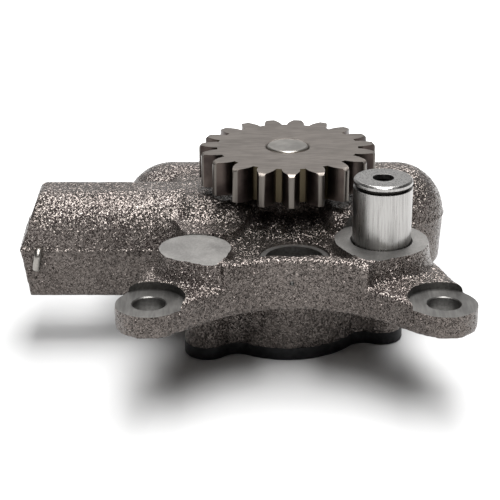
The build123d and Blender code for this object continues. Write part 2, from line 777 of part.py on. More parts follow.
def machined(solid):
    """Seats, bores and tapped holes, cut from the casting."""
    # Bolt seats and bolt holes of the flange, all seats at one level
    for centre in ears:
        solid -= rod_z(seat_dia / 2, bolt_seat_z, pad_z, centre)
        solid -= rod_z(bolt_hole_dia / 2, mounting_face_z, pad_z, centre)
    solid -= rod_z(centre_counterbore_dia / 2, bolt_seat_z, pad_z, centre_bolt)
    solid -= rod_z(bolt_hole_dia / 2, mounting_face_z, pad_z, centre_bolt)

    # Milled face and blind seat of the idler stub shaft
    stub = (stub_x, stub_y)
    solid -= rod_z(stub_pad_radius, pad_z, plateau_z, stub)
    solid -= rod_z(stub_seat_dia / 2, pad_z - stub_depth, pad_z, stub)
    solid = countersunk(solid, stub_seat_dia / 2, pad_z, stub, stub_mouth_chamfer)

    # Rotor chamber, shaft bore and bush seats
    offset = (0, rotor_eccentricity)
    solid -= rod_z(chamber_radius, cover_thickness, chamber_top_z, offset)
    solid -= rod_z(shaft_radius + hole_clearance, chamber_top_z, hub_top_z)
    solid -= rod_z(bush_radius, chamber_top_z, lower_bush_z + bush_length)
    solid -= rod_z(bush_radius, upper_bush_z, hub_top_z)

    # Seal groove, cover screws and dowels in the housing's face
    groove_radii = (seal_radius - seal_groove_width / 2, seal_radius + seal_groove_width / 2)
    groove = disc(groove_radii[1], offset) - disc(groove_radii[0], offset)
    solid -= slab(groove, cover_thickness, cover_thickness + seal_groove_depth)
    for centre in screw_centres:
        solid -= rod_z(screw_dia / 2, cover_thickness, screw_length + screw_hole_run_out, centre)
    dowel_hole_z = cover_thickness + dowel_body_depth + hole_clearance
    for centre in dowel_centres:
        solid -= rod_z(dowel_dia / 2, cover_thickness, dowel_hole_z, centre)

    # Kidney ports and the passages that lead from them to the two ports
    solid -= slab(kidney_ports(), chamber_top_z, chamber_top_z + kidney_depth)
    solid -= rod_x(suction_passage_dia / 2, rotor_minor_radius, suction_x, suction_passage_y, parting_z)
    solid -= rod_y(suction_bore_dia / 2, suction_passage_y, port_face_y, suction_x, parting_z)
    solid -= rod_x(delivery_passage_dia / 2, delivery_x, -rotor_minor_radius, delivery_passage_y, parting_z)
    solid -= rod_y(delivery_bore_dia / 2, delivery_passage_y, port_face_y, delivery_x, parting_z)
    for port_x, spacing in ((suction_x, suction_bolt_spacing), (delivery_x, delivery_bolt_spacing)):
        for side in (-1, 1):
            bolt_x = port_x + side * spacing / 2
            core_radius = port_bolt_dia / 2 * thread_core_ratio
            solid -= rod_y(core_radius, port_face_y - port_bolt_depth, port_face_y, bolt_x, parting_z)

    # Relief valve bore, its feed, the spill slot underneath and the cross-pin hole
    bore_radius = relief_bore_dia / 2
    solid -= rod_x(bore_radius, arm_end_x, plunger_face_x, relief_y, parting_z)
    solid -= rod_x(pressure_bore_dia / 2, plunger_face_x, -rotor_minor_radius, relief_y, parting_z)
    spill_slot_width = plunger_lift - spill_slot_lap
    spill_x = plunger_face_x - spill_slot_lap - spill_slot_width / 2
    spill = slab(SlotOverall(spill_slot_length, spill_slot_width, rotation=90), casting_bottom_z, parting_z)
    solid -= Pos(spill_x, relief_y, 0) * spill
    solid -= rod_y(cap_pin_dia / 2, arm_front_y - overcut, arm_back_y + overcut, cap_pin_x, parting_z)
    return solid


# ------------------------------------------------------------------ assembly
nodes = {
    "pump_body": machined(casting()),
    "end_cover": end_cover(),
    "cover_screws": Compound(children=[cover_screw(centre) for centre in screw_centres]),
    "cover_dowels": Compound(children=[cover_dowel(centre) for centre in dowel_centres]),
    "cover_seal_ring": seal_ring(),
    "upper_shaft_bush": shaft_bush(upper_bush_z),
    "lower_shaft_bush": shaft_bush(lower_bush_z),
    "idler_stub_shaft": idler_stub_shaft(),
    "drive_shaft": drive_shaft(),
    "drive_gear": involute_gear(),
    "inner_rotor": inner_rotor(),
    "rotor_drive_pin": drive_pin(),
    "outer_rotor": outer_rotor(),
    "relief_plunger": relief_plunger(),
    "relief_spring": relief_spring(),
    "relief_spring_cap": relief_spring_cap(),
    "relief_cap_pin": relief_cap_pin(),
}

os.makedirs("parts", exist_ok=True)
for name, shape in nodes.items():
    export_step(shape, f"parts/{name}.step")
    print(f"{name}: {shape.volume:.0f} mm3")
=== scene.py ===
# %% [markdown]
# This lesson dresses a diesel engine's oil pump for a studio view. The packed
# model already gives every piece its shape, its place and its motion. What is
# left is what makes metal believable: a sand-cast skin, milled faces, broken
# edges, ground steel and soft light.

import json
from math import cos, pi, radians, sin

import bmesh
import bpy
import numpy as np
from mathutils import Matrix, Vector


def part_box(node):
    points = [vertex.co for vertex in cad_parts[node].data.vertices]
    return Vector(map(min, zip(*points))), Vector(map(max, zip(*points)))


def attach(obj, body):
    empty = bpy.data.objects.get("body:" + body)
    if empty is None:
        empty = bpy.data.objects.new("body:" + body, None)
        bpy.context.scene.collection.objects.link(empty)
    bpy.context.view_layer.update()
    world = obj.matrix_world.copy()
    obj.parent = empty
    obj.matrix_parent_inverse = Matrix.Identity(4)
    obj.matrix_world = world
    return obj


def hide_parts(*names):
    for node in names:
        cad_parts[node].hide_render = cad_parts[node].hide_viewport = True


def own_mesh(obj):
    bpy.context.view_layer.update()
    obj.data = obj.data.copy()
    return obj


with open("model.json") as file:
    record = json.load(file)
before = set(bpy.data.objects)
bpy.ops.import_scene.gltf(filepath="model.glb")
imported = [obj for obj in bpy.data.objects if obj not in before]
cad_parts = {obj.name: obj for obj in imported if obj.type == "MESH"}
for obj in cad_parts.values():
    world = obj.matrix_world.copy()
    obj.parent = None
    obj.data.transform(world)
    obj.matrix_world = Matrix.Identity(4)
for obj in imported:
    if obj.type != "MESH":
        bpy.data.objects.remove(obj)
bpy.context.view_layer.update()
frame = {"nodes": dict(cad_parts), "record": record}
nodes = frame["nodes"]
mm = 0.001
print("pieces in the frame:", len(nodes))

# %% [markdown]
# A finish is a graph of shader nodes. Linking them by hand takes a few lines
# a node and hides the formula. A small class wraps an output socket instead,
# so that adding or multiplying two wrapped sockets adds the Math node that
# does it, and a sum can be read as a sum.

# %% Shader sums and products
class Value:
    """One output socket of a graph, usable in sums, differences and products."""

    def __init__(self, graph, socket):
        self.graph = graph
        self.socket = socket

    def __add__(self, other):
        return self.graph.maths("ADD", self, other)

    def __sub__(self, other):
        return self.graph.maths("SUBTRACT", self, other)

    def __rsub__(self, other):
        return self.graph.maths("SUBTRACT", other, self)

    def __mul__(self, other):
        return self.graph.maths("MULTIPLY", self, other)

    __radd__ = __add__
    __rmul__ = __mul__


class Graph:
    """A node tree, and the few ways in which this lesson adds nodes to it."""

    def __init__(self, tree):
        self.tree = tree

    def feed(self, socket, value):
        """Links a wrapped socket to an input, or sets a plain value on it."""
        if isinstance(value, Value):
            self.tree.links.new(value.socket, socket)
        else:
            socket.default_value = value

    def node(self, kind, settings, sockets, output=0):
        """Any node: its settings come first, then its sockets, by name or by number."""
        made = self.tree.nodes.new(kind)
        for name, setting in settings.items():
            setattr(made, name, setting)
        for socket, value in sockets.items():
            self.feed(made.inputs[socket], value)
        return Value(self, made.outputs[output])

    def maths(self, operation, *values):
        return self.node("ShaderNodeMath", {"operation": operation}, dict(enumerate(values)))

    def vectors(self, operation, *values, output=0):
        settings = {"operation": operation}
        return self.node("ShaderNodeVectorMath", settings, dict(enumerate(values)), output)

    def along(self, axis, vector):
        """One coordinate of a vector."""
        return self.node("ShaderNodeSeparateXYZ", {}, {"Vector": vector}, axis)

    def ramp(self, value, low, high, bottom=0.0, top=1.0):
        """The bottom value below low, the top one above high and a smooth rise in between."""
        reach = {"From Min": low, "From Max": high, "To Min": bottom, "To Max": top}
        settings = {"interpolation_type": "SMOOTHSTEP"}
        return self.node("ShaderNodeMapRange", settings, {"Value": value, **reach})

    def mix(self, factor, first, second):
        """One colour that changes into another with the factor."""
        colours = {0: factor, 6: first, 7: second}
        return self.node("ShaderNodeMix", {"data_type": "RGBA"}, colours, 2)


print("sockets can be added, subtracted and multiplied")

# %% [markdown]
# Metal shows its making in grains and lines far too small to model. They are
# noise in a material: for each point a colour, a roughness and a tilt. The
# noise reads the object's own coordinates in metres, so that a grain keeps
# its real size on every piece and moves with the piece.

# %% A finish with grains, facets and relief
class Finish(Graph):
    """A procedural material: one Principled shader and the nodes that feed it."""

    def __init__(self, name, **constants):
        self.material = bpy.data.materials.new(name)
        self.material.use_nodes = True
        super().__init__(self.material.node_tree)
        self.shader = self.tree.nodes["Principled BSDF"]
        self.place = self.node("ShaderNodeTexCoord", {}, {}, "Object")
        self.set(**constants)

    def set(self, **sockets):
        """Feeds the shader's own sockets, with _ for each space in a name."""
        for name, value in sockets.items():
            self.feed(self.shader.inputs[name.replace("_", " ")], value)

    def noise(self, size, detail=2, stretch=None):
        """Noise from 0 to 1 whose grains are about the given size in metres. A stretch below 1
        along an axis draws the grains out that way, and one above 1 packs them closer."""
        place = self.vectors("MULTIPLY", self.place, stretch) if stretch else self.place
        sockets = {"Vector": place, "Scale": 0.5 / size, "Detail": detail}
        return self.node("ShaderNodeTexNoise", {}, sockets)

    def normal(self):
        return self.node("ShaderNodeNewGeometry", {}, {}, "Normal")

    def facets(self, size):
        """The surface's normal, tipped another way in each cell of about the given size:
        normalise(normal + random colour - 1/2)."""
        sockets = {"Vector": self.place, "Scale": 1 / size}
        colour = self.node("ShaderNodeTexVoronoi", {}, sockets, "Color")
        tip = self.vectors("SUBTRACT", colour, (0.5, 0.5, 0.5))
        return self.vectors("NORMALIZE", self.vectors("ADD", self.normal(), tip))

    def relief(self, height, depth, **base):
        """Raises and sinks the surface by the height, over the given depth in metres."""
        sockets = {"Height": height, "Distance": depth, **base}
        self.set(Normal=self.node("ShaderNodeBump", {}, sockets))


def rgb(red, green, blue):
    return (red, green, blue, 1.0)


print("a finish can have grains, facets and relief")

# %% [markdown]
# Grey iron cast in sand is a warm dark grey, and its skin is a print of the
# sand: grains of a few tenths of a millimetre. Each grain is a small facet,
# and the few that face the light glint, which a plain bump would smear into a
# haze. So every cell of a Voronoi pattern tips the normal its own way.

# %% Cast iron
def cast_iron():
    """Iron with sand grains, clumps of grains and wide patches of tone."""
    iron = Finish("cast_iron_skin", Metallic=0.85, Roughness=0.26)
    grains = iron.noise(0.25 * mm)
    clumps = iron.noise(0.6 * mm)
    patches = iron.noise(14 * mm, detail=3)
    tone = iron.ramp(grains * 0.5 + clumps * 0.3 + patches * 0.2, 0.38, 0.62)
    iron.set(Base_Color=iron.mix(tone, rgb(0.066, 0.055, 0.049), rgb(0.19, 0.167, 0.153)))
    iron.relief(grains * 0.5 + clumps * 0.5, 0.3 * mm, Normal=iron.facets(0.45 * mm))
    return iron.material


iron_skin = cast_iron()
print("cast iron:", len(iron_skin.node_tree.nodes), "nodes")

# %% [markdown]
# Where the casting seats a bolt or a shaft it is milled or turned: brighter
# and smoother, with fine lines that the tool left. All the plain metals share
# one recipe: marks drawn out along the cut, under soft clouds of tone.

# %% Plain metals
def steel(name, dark, light, roughness, mark_size, mark_depth, stretch=(1, 1, 1)):
    """A metal between a dark and a light tone, with tool marks of the given size and depth."""
    metal = Finish(name, Metallic=1.0)
    marks = metal.noise(mark_size, detail=4, stretch=stretch)
    clouds = metal.noise(6 * mm, detail=3)
    tone = metal.ramp(marks * 0.6 + clouds * 0.4, 0.35, 0.65)
    metal.set(Base_Color=metal.mix(tone, dark, light))
    metal.set(Roughness=metal.ramp(clouds, 0.3, 0.7) * 0.08 + roughness)
    metal.relief(marks, mark_depth)
    return metal.material


milled_iron = steel(
    "milled_iron", rgb(0.11, 0.107, 0.102), rgb(0.175, 0.17, 0.162),
    roughness=0.38, mark_size=0.5 * mm, mark_depth=0.03 * mm, stretch=(1, 0.12, 1),
)
faced_iron = steel(
    "faced_iron", rgb(0.19, 0.184, 0.176), rgb(0.26, 0.252, 0.241),
    roughness=0.45, mark_size=0.3 * mm, mark_depth=0.012 * mm,
)
ground_steel = steel(
    "ground_steel", rgb(0.42, 0.41, 0.4), rgb(0.52, 0.51, 0.5),
    roughness=0.16, mark_size=0.25 * mm, mark_depth=0.006 * mm, stretch=(0.2, 0.2, 3),
)
turned_steel = steel(
    "turned_steel", rgb(0.23, 0.217, 0.2), rgb(0.32, 0.303, 0.28),
    roughness=0.3, mark_size=0.4 * mm, mark_depth=0.01 * mm, stretch=(0.3, 0.3, 2),
)
black_cover = steel(
    "black_cover", rgb(0.02, 0.02, 0.021), rgb(0.035, 0.035, 0.036),
    roughness=0.45, mark_size=1.2 * mm, mark_depth=0.03 * mm,
)
sintered_steel = steel(
    "sintered_steel", rgb(0.16, 0.155, 0.15), rgb(0.3, 0.29, 0.28),
    roughness=0.4, mark_size=0.25 * mm, mark_depth=0.02 * mm,
)
zinc = steel(
    "zinc_plate", rgb(0.5, 0.5, 0.49), rgb(0.66, 0.66, 0.64),
    roughness=0.28, mark_size=0.4 * mm, mark_depth=0.01 * mm,
)
spring_steel = steel(
    "spring_steel", rgb(0.1, 0.095, 0.09), rgb(0.2, 0.19, 0.18),
    roughness=0.3, mark_size=0.3 * mm, mark_depth=0.01 * mm,
)
bronze = steel(
    "bush_bronze", rgb(0.36, 0.2, 0.09), rgb(0.5, 0.3, 0.14),
    roughness=0.32, mark_size=0.3 * mm, mark_depth=0.01 * mm,
)
print("a plain metal:", len(milled_iron.node_tree.nodes), "nodes")

# %% [markdown]
# Three pieces need more. The gear is cut, hardened and then ground on its two
# ends: the flanks are a dark brown, the roots turn olive and the tips carry a
# painted highlight. The stub is ground along its length, and its ring groove
# is painted near black as painted shade. The seal is dull rubber. A mask for
# each zone comes from the normal, the distance from the axis or the height.

# %% Gear, stub and seal
def gear_steel():
    """Teeth with roots 27.8 mm and tips 34.9 mm from the axis. The root mask fades out just
    above the roots, and the mask of the tips' painted highlight fades in just below the tips."""
    root_start, root_end = 28.2 * mm, 29.2 * mm
    tip_start, tip_end = 34.3 * mm, 34.7 * mm
    metal = Finish("gear_steel", Metallic=1.0)
    brushed = metal.noise(0.5 * mm, detail=4, stretch=(0.14, 1.6, 1))
    clouds = metal.noise(5 * mm, detail=3)
    upright = metal.maths("ABSOLUTE", metal.along("Z", metal.normal()))
    flat_place = metal.vectors("MULTIPLY", metal.place, (1, 1, 0))
    radius = metal.vectors("LENGTH", flat_place, output=1)
    on_end = metal.ramp(upright, 0.4, 0.9)
    painted_tip_highlight = metal.ramp(radius, tip_start, tip_end)
    on_root = 1 - metal.ramp(radius, root_start, root_end)
    flank_mottle = metal.ramp(clouds, 0.35, 0.65)
    flank = metal.mix(flank_mottle, rgb(0.034, 0.026, 0.024), rgb(0.075, 0.06, 0.053))
    side = metal.mix(on_root, flank, rgb(0.05, 0.041, 0.026))
    # The tips are painted lighter than the flanks: a painted highlight.
    side = metal.mix(painted_tip_highlight, side, rgb(0.12, 0.108, 0.097))
    lines = metal.ramp(brushed * 0.7 + clouds * 0.3, 0.38, 0.62)
    end = metal.mix(lines, rgb(0.125, 0.11, 0.098), rgb(0.19, 0.169, 0.152))
    metal.set(Base_Color=metal.mix(on_end, side, end), Roughness=on_end * 0.08 + 0.34)
    metal.relief(brushed * on_end + clouds * 0.3, 0.03 * mm)
    return metal.material


def stub_steel():
    """Fine lines along the shaft, and a near-black ring of painted shade where the height is
    within half the groove's width of its middle."""
    groove_middle, groove_half_width = 76.6 * mm, 0.68 * mm
    metal = Finish("stub_steel", Metallic=1.0)
    lines = metal.noise(0.3 * mm, detail=4, stretch=(1, 1, 0.05))
    height = metal.along("Z", metal.place)
    groove_shade = metal.maths("COMPARE", height, groove_middle, groove_half_width)
    tone = metal.ramp(lines, 0.35, 0.65)
    ground = metal.mix(tone, rgb(0.26, 0.253, 0.246), rgb(0.35, 0.343, 0.332))
    # The empty groove is painted near black: painted shade.
    metal.set(Base_Color=metal.mix(groove_shade, ground, rgb(0.012, 0.011, 0.01)))
    metal.set(Roughness=metal.ramp(lines, 0.3, 0.7) * 0.06 + 0.26)
    metal.relief(lines, 0.008 * mm)
    return metal.material


def seal_rubber():
    """Black rubber with a little grey dust."""
    seal = Finish("seal_rubber", Roughness=0.55)
    dust = seal.noise(0.8 * mm, detail=3)
    tone = seal.ramp(dust, 0.35, 0.7)
    seal.set(Base_Color=seal.mix(tone, rgb(0.012, 0.012, 0.013), rgb(0.04, 0.038, 0.036)))
    seal.relief(dust, 0.02 * mm)
    return seal.material


finishes = {
    "pump_body": iron_skin,
    "end_cover": black_cover,
    "drive_gear": gear_steel(),
    "idler_stub_shaft": stub_steel(),
    "relief_plunger": ground_steel,
    "cover_dowels": ground_steel,
    "inner_rotor": sintered_steel,
    "outer_rotor": sintered_steel,
    "cover_screws": zinc,
    "relief_spring_cap": zinc,
    "relief_spring": spring_steel,
    "cover_seal_ring": seal_rubber(),
    "lower_shaft_bush": bronze,
    "upper_shaft_bush": bronze,
}
for name, node in nodes.items():
    node.data.materials.clear()
    node.data.materials.append(finishes.get(name, turned_steel))
print("finishes given to", len(nodes), "pieces")

# %% [markdown]
# The housing is cast first and machined afterwards, and it is made the same
# way here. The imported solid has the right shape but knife-sharp edges, which
# no sand mould can give. Bevelling each edge would fail where many of them
# meet. So the solid is filled, rebuilt from small squares, smoothed and
# roughened, and only then do crisp cutters mill and bore it.

# %% Levels and centres of the housing, in millimetres
joint_z = 5.25
parting_z = 42.0
bolt_seat_z = 42.6
cup_floor_z = 48.8
pad_z = 54.3
hub_top_z = 64.9
port_face_y = 48.0
relief_y = -6.0
relief_pin_x = -97.5
suction_x = 38.0
delivery_x = -40.0
port_thread_x = (18, 58, -57, -23)

# %% Centres in metres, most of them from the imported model's own mounts
mounts = {mount["name"]: mount for mount in frame["record"]["mounts"]}
ear_middle = np.array(mounts["ear_bolts"]["pos_m"])
ear_spacing = mounts["ear_bolts"]["dims"]["spacing_x_mm"] * mm
ears = [ear_middle[:2] + (side * ear_spacing / 2, 0) for side in (-1, 1)]
centre_bolt = np.array(mounts["centre_bolt_hole"]["pos_m"])[:2]
stub = np.array(mounts["idler_stub"]["pos_m"])[:2]
crank_axis = (2 * mm, -107 * mm)


def at(place, z=0.0):
    """A place in the XY plane, in metres, lifted to a level."""
    return (place[0], place[1], z)


def point(x, y, z):
    """A point given in millimetres."""
    return (x * mm, y * mm, z * mm)


relief_axis = point(0, relief_y, parting_z)
relief_pin = point(relief_pin_x, 0, parting_z)
suction_axis = point(suction_x, 0, parting_z)
delivery_axis = point(delivery_x, 0, parting_z)
port_threads = [point(x, 0, parting_z) for x in port_thread_x]
print("ear bolts", ear_spacing / mm, "mm apart")

# %% [markdown]
# The two raised pads are round at the back and pointed at the front, like the
# outline that a string makes round a large disc and a small one. That shape
# is needed three ways: as an outline, as a block and as a distance, which
# tells for any point how far outside the pad it lies.

# %% The pads' egg outline
blank_pad = (np.array((-35.3, -47.2)) * mm, 13.4 * mm, np.array((-29.6, -59.2)) * mm, 5.0 * mm)
stub_pad = (stub, 17.7 * mm, np.array((29.6, -55.6)) * mm, 5.0 * mm)


def egg_outline(centre, radius, tail, tail_radius, growth, steps=144):
    """Loop round two discs: in each direction, the point of whichever disc reaches further."""
    angle = np.linspace(0, 2 * pi, steps, endpoint=False)
    normal = np.stack([np.cos(angle), np.sin(angle)], axis=-1)
    further = normal @ (tail - centre) + tail_radius - radius > 0
    round_centre = centre + (radius + growth) * normal
    round_tail = tail + (tail_radius + growth) * normal
    return np.where(further[:, None], round_tail, round_centre)


def egg_distance(points, centre, radius, tail, tail_radius):
    """Distance outside an egg outline, negative inside it: the plane is split by the two
    lines that leave the discs' centres square to the egg's straight sides."""
    reach = np.linalg.norm(tail - centre)
    along_axis = (tail - centre) / reach
    local = points - centre
    along = local @ along_axis
    across = abs(local @ np.array((-along_axis[1], along_axis[0])))
    slope = (radius - tail_radius) / reach
    rise = np.sqrt(1 - slope**2)
    side = -slope * across + rise * along
    near_centre = np.hypot(across, along) - radius
    near_tail = np.hypot(across, along - reach) - tail_radius
    between = rise * across + slope * along - radius
    return np.where(side < 0, near_centre, np.where(side > rise * reach, near_tail, between))


def off_pads(points):
    """Distance outside the nearer pad, negative on a pad."""
    flat = points[:, :2]
    return np.minimum(egg_distance(flat, *blank_pad), egg_distance(flat, *stub_pad))


print("blank pad:", len(egg_outline(*blank_pad, 0)), "points round")

# %% [markdown]
# Every filler and cutter is a stack of rings, joined by strips of quads and
# closed by two caps. A bore is a profile turned about its axis, and a pad is
# two egg outlines. As grids of numbers, each takes only a line to write.

# %% Stacks of rings
def stacked(rings):
    """Vertices and faces of a closed solid. rings is rows x steps x 3, each row a loop seen
    anticlockwise from the end that the rows run to."""
    rows, steps = rings.shape[:2]
    index = np.arange(rows * steps).reshape(rows, steps)
    following = np.roll(index, -1, axis=1)
    quads = np.stack([index[:-1], following[:-1], following[1:], index[1:]], axis=-1)
    faces = quads.reshape(-1, 4).tolist() + [index[0, ::-1].tolist(), index[-1].tolist()]
    return rings.reshape(-1, 3), faces


def turned(profile, centre=(0, 0, 0), axis="Z", steps=96):
    """A profile of (radius, height) pairs in millimetres, turned about an axis through centre:
    radius x (cos t, sin t) across the axis and the height along it."""
    radius, height = np.array(profile, float).T * mm
    angle = np.linspace(0, 2 * pi, steps, endpoint=False)
    across = radius[:, None] * np.cos(angle)
    up = radius[:, None] * np.sin(angle)
    along = np.broadcast_to(height[:, None], across.shape)
    # Cyclic swaps of the three axes keep the solid's faces pointing outwards
    order = {"Z": (across, up, along), "X": (along, across, up), "Y": (up, along, across)}[axis]
    return stacked(np.stack(order, axis=-1) + np.array(centre, float))


def egg_prism(pad, low, high, growth):
    """An egg-shaped block between two levels in millimetres: the same outline twice."""
    outline = egg_outline(*pad, growth)
    rings = np.empty((2, len(outline), 3))
    rings[:, :, :2] = outline
    rings[:, :, 2] = np.array([[low], [high]]) * mm
    return stacked(rings)


print("a plain bore has", len(turned([(1, 0), (1, 1)])[1]), "faces")

# %% [markdown]
# Meshes pass between arrays, the mesh editor and modifiers many times below,
# so each of these steps gets one short function.

# %% Mesh helpers
def placed(name, data):
    """A new object at the origin, linked to the scene."""
    made = bpy.data.objects.new(name, data)
    bpy.context.scene.collection.objects.link(made)
    return made


def mesh_from(name, work):
    """The mesh that an open bmesh holds; the bmesh is closed."""
    mesh = bpy.data.meshes.new(name)
    work.to_mesh(mesh)
    work.free()
    return mesh


def merged_copy(name):
    """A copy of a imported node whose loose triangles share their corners."""
    work = bmesh.new()
    work.from_mesh(nodes[name].data)
    bmesh.ops.remove_doubles(work, verts=work.verts, dist=1e-6)
    return mesh_from(name + "_copy", work)


def solids_mesh(name, solids):
    """One mesh out of several closed solids."""
    vertices, faces, start = [], [], 0
    for points, rows in solids:
        vertices.append(points)
        faces += [[start + corner for corner in row] for row in rows]
        start += len(points)
    mesh = bpy.data.meshes.new(name)
    mesh.from_pydata(np.concatenate(vertices).tolist(), [], faces)
    return mesh


def rows_of(items, attribute="co"):
    """A vector of every vertex or face, as an array of rows of X, Y and Z."""
    flat = np.empty(3 * len(items))
    items.foreach_get(attribute, flat)
    return flat.reshape(-1, 3)


def finished_mesh(thing, **modifiers):
    """The mesh that an object gets from modifiers, given as KIND={setting: value}."""
    for kind, settings in modifiers.items():
        modifier = thing.modifiers.new(kind.lower(), kind)
        for name, setting in settings.items():
            setattr(modifier, name, setting)
    depsgraph = bpy.context.evaluated_depsgraph_get()
    mesh = bpy.data.meshes.new_from_object(thing.evaluated_get(depsgraph))
    thing.modifiers.clear()
    return mesh


def dress(thing, *materials):
    """Takes the object's materials off and gives it these."""
    thing.data.materials.clear()
    for material in materials:
        thing.data.materials.append(material)


def smoothed(part, angle):
    """Smooth shading up to an angle, with flat faces kept flat by weighing normals by area."""
    part.data.shade_smooth()
    part.data.set_sharp_from_angle(angle=radians(angle))
    part.data = finished_mesh(part, WEIGHTED_NORMAL={"keep_sharp": True, "weight": 100})


body_copy = merged_copy("pump_body")
print("the packed body has", len(body_copy.vertices), "corners")

# %% [markdown]
# The foundry delivers a blank: its holes are still solid, and the faces to be
# milled stand a millimetre proud. Fillers close each hole of the packed
# solid, a little larger than the hole so that no seam is left, and the
# machined faces move outwards by the stock.

# %% The blank casting
stock = 1.0 * mm
screw_circle = 38.9 * mm
screw_heading, screw_half_angle = 11.45, 23.95
chamber_y = 2.7
suction_passage_y, delivery_passage_y = 13.5, 15.5


def leave_stock(points):
    """Moves the faces that will be milled outwards by the stock."""
    y, z = points[:, 1], points[:, 2]
    on_pads = off_pads(points) < 0.2 * mm
    near = 0.02 * mm
    z[(abs(z - pad_z * mm) < near) & on_pads] += stock
    z[abs(z - hub_top_z * mm) < near] += stock
    z[abs(z - joint_z * mm) < near] -= stock
    y[abs(y - port_face_y * mm) < near] += stock
    return points


fillers = [turned([(12.2, 34.8), (12.2, 45.2)], at(ear)) for ear in ears]
fillers += [
    turned([(11.4, 34.8), (11.4, 49.2)], at(centre_bolt)),
    turned([(11.6, 35.5), (11.6, 55.2)], at(stub)),
    # The shaft's bore, and the rotor chamber with its seal groove
    turned([(10.2, 30), (10.2, 65.9)]),
    turned([(29.5, 4.3), (29.5, 34)]),
    # The relief bore, with a thinner plug at its mouth, and its cross pin
    turned([(9.6, -97), (9.6, -30)], relief_axis, "X"),
    turned([(8.4, -105.5), (8.4, -90)], relief_axis, "X"),
    turned([(1.9, -19.4), (1.9, 7.4)], relief_pin, "Y"),
    # The passages from the chamber to the two ports, and the ports
    turned([(8.6, 0), (8.6, 38)], point(0, suction_passage_y, parting_z), "X"),
    turned([(7.2, -40), (7.2, 0)], point(0, delivery_passage_y, parting_z), "X"),
    turned([(11.6, 12.5), (11.6, 48.9)], suction_axis, "Y"),
    turned([(8.6, 14.5), (8.6, 48.9)], delivery_axis, "Y"),
    # The kidney-shaped slots that lead from the chamber up to the passages
    turned([(18, 30), (18, 50)]),
]
fillers += [turned([(3.8, 33), (3.8, 48.8)], thread, "Y") for thread in port_threads]
for turn in (0, 180):
    for side in (-1, 1):
        heading = radians(screw_heading + turn + side * screw_half_angle)
        screw = (screw_circle * cos(heading), screw_circle * sin(heading), 0)
        fillers.append(turned([(3.4, 4.3), (3.4, 21.6)], screw))

body_points = leave_stock(rows_of(body_copy.vertices))
body_copy.vertices.foreach_set("co", body_points.ravel())
work = bmesh.new()
for mesh in (body_copy, solids_mesh("filling", fillers)):
    work.from_mesh(mesh)
casting = placed("casting", mesh_from("casting", work))
print("blank casting:", len(casting.data.vertices), "corners,", len(fillers), "filled holes")

# %% [markdown]
# A voxel remesh turns the heap of overlapping solids into one even skin of
# small squares, and smoothing that skin rounds every edge and fills every
# corner a little, as moulding sand does.

# %% One even skin
casting.data = finished_mesh(
    casting,
    REMESH={"mode": "VOXEL", "voxel_size": 0.85 * mm},
    SMOOTH={"factor": 0.5, "iterations": 6},
)
print("even skin:", len(casting.data.polygons), "squares")

# %% [markdown]
# Patternmakers give the big corners a big radius, so that the sand doesn't
# break off. The relief arm's upper front corner is a quarter circle, and the
# plateau beside it carries the arm's round ridge on to the hub. Both are made
# by bringing the points that stand too far out back to the round.

# %% Big radii
arm_front_y, arm_top_z, arm_radius = -19.4 * mm, 62 * mm, 15 * mm
ridge_radius = 20 * mm
ridge_shift = 6 * mm
ledge_z = pad_z * mm + 0.3 * mm


def ease(value, start, end):
    """0 before start, 1 after end and the S curve 3t^2 - 2t^3 in between."""
    t = np.clip((value - start) / (end - start), 0, 1)
    return t * t * (3 - 2 * t)


def round_arm(points):
    """A point further than the radius from the corner's centre line moves straight towards
    it, by its share of (1 - radius / reach)."""
    on_arm = 1 - ease(points[:, 0], -46 * mm, -40 * mm)
    across = points[:, 1] - (arm_front_y + arm_radius)
    up = points[:, 2] - (arm_top_z - arm_radius)
    reach = np.hypot(across, up)
    on_corner = (across < 0) & (up > 0) & (points[:, 1] > arm_front_y - 0.4 * mm)
    outside = on_corner & (reach > arm_radius)
    pull = np.where(outside, on_arm * (1 - arm_radius / np.maximum(reach, arm_radius)), 0)
    points[:, 1] -= pull * across
    points[:, 2] -= pull * up


def round_plateau(points):
    """Lowers the plateau's front to parting level + sqrt(radius^2 - distance^2) from a ridge
    line that shifts forward towards the hub, but never below the ledge behind the pad."""
    x, y, z = points.T
    on_plateau = ease(x, -48 * mm, -44 * mm) * (1 - ease(x, -20 * mm, -13 * mm))
    behind_pads = ease(y, -36 * mm, -34 * mm)
    from_ridge = y + ridge_shift * ease(x, -44 * mm, -36 * mm)
    crown = parting_z * mm + np.sqrt(np.maximum(ridge_radius**2 - from_ridge**2, 0))
    excess = np.maximum(z - np.maximum(crown, ledge_z), 0) * (from_ridge < 0)
    points[:, 2] -= excess * on_plateau * behind_pads


shaped = rows_of(casting.data.vertices)
square = shaped.copy()
round_arm(shaped)
round_plateau(shaped)
casting.data.vertices.foreach_set("co", shaped.ravel())
print("rounded by up to", round(abs(shaped - square).max() / mm, 1), "mm")

# %% [markdown]
# Where the pads grow out of the flange the inside corners are wide fillets.
# The skin is smoothed again there, and only there: a weight for each point
# leaves out the low parts, the rim round the crankshaft, the middle and the
# pads themselves, whose faces have to stay flat for the cutter.

# %% Wide fillets
from_crank = np.hypot(shaped[:, 0] - crank_axis[0], shaped[:, 1] - crank_axis[1])
softness = ease(shaped[:, 2], 43.5 * mm, 47 * mm) * ease(from_crank, 51.5 * mm, 54 * mm)
softness *= ease(abs(shaped[:, 0] - crank_axis[0]), 12 * mm, 18 * mm)
softness *= ease(off_pads(shaped), 0.3 * mm, 3 * mm)
weights = np.round(softness, 1)
soft_group = casting.vertex_groups.new(name="soft")
for weight in np.unique(weights):
    soft_group.add(np.flatnonzero(weights == weight).tolist(), float(weight), "REPLACE")
casting.data = finished_mesh(
    casting, SMOOTH={"factor": 0.5, "iterations": 14, "vertex_group": "soft"}
)
print("wide fillets on", int((softness > 0.5).sum()), "points")

